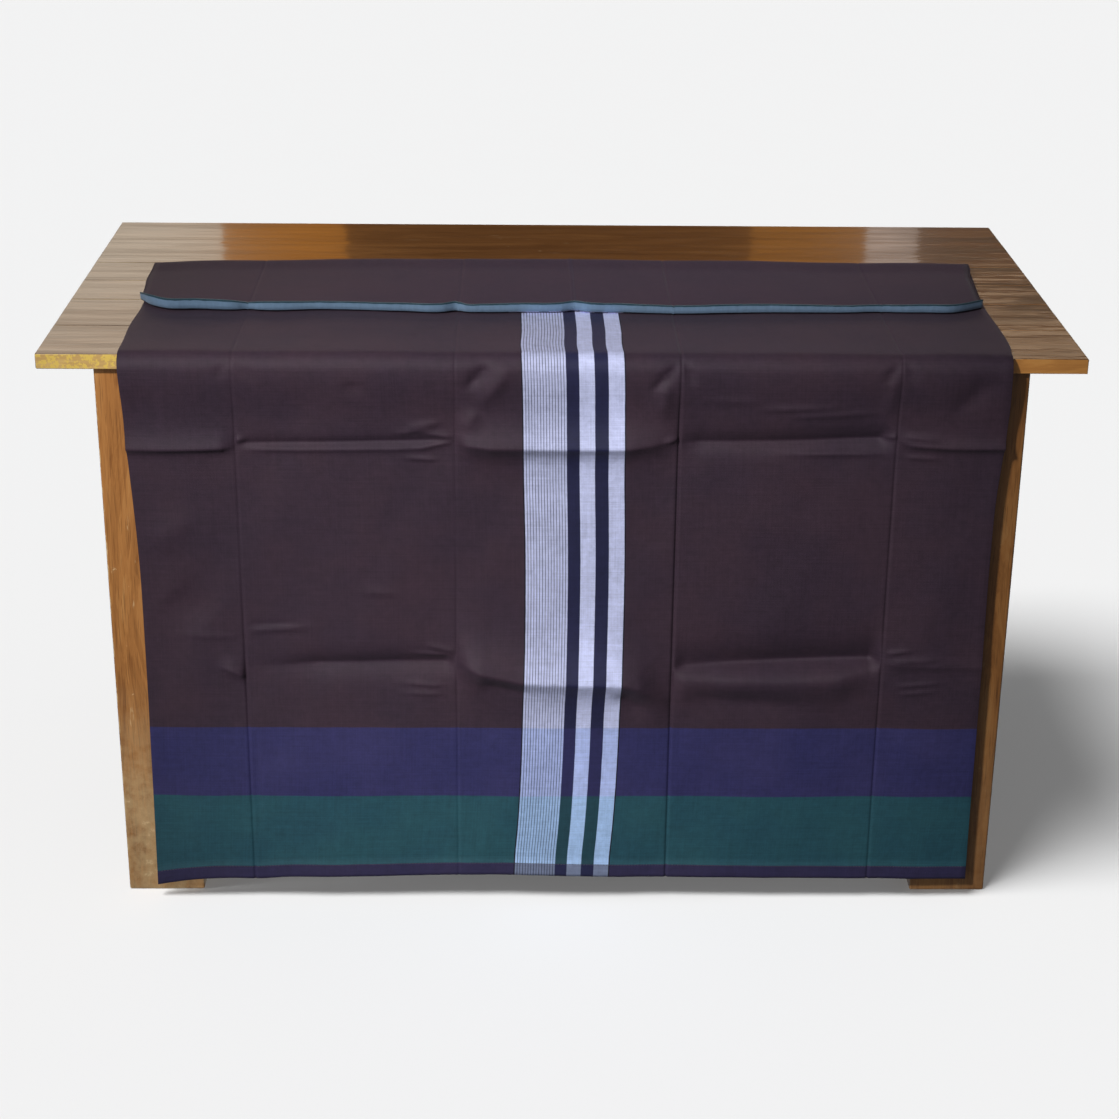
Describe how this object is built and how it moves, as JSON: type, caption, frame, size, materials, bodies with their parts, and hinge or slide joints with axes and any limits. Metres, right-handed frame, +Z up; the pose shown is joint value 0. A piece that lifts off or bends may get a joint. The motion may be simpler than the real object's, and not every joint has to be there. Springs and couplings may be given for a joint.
{
  "type": "tube sarong laid over a wooden table",
  "caption": "Striped cotton tube sarong lying flat and doubled over a plain wooden table, its waist end folded forward and its hem hanging down the front.",
  "frame": {"origin": "centre of the whole object's bounding box, at floor level", "axes": "+X along the table to the right of someone facing the hanging cloth, +Y towards the back of the table, +Z up"},
  "size_m": [1.22, 0.6346, 0.7319],
  "materials": {
    "cloth": "plain-woven handloom cotton, matte with a faint sheen",
    "selvage": "dense woven edge",
    "table_top": "glossy brown varnish",
    "table_frame": "worn brown varnish"
  },
  "bodies": {
    "root": {"sarong_front": "cloth", "sarong_back": "cloth", "waist_edge_front": "selvage", "waist_edge_back": "selvage", "table_board_1": "table_top", "table_board_2": "table_top", "table_board_3": "table_top", "table_board_4": "table_top", "table_board_5": "table_top", "table_leg_front_left": "table_frame", "table_leg_front_right": "table_frame", "table_leg_back_left": "table_frame", "table_leg_back_right": "table_frame", "table_apron_front": "table_frame", "table_apron_back": "table_frame", "table_apron_left": "table_frame", "table_apron_right": "table_frame"}
  },
  "joints": []
}
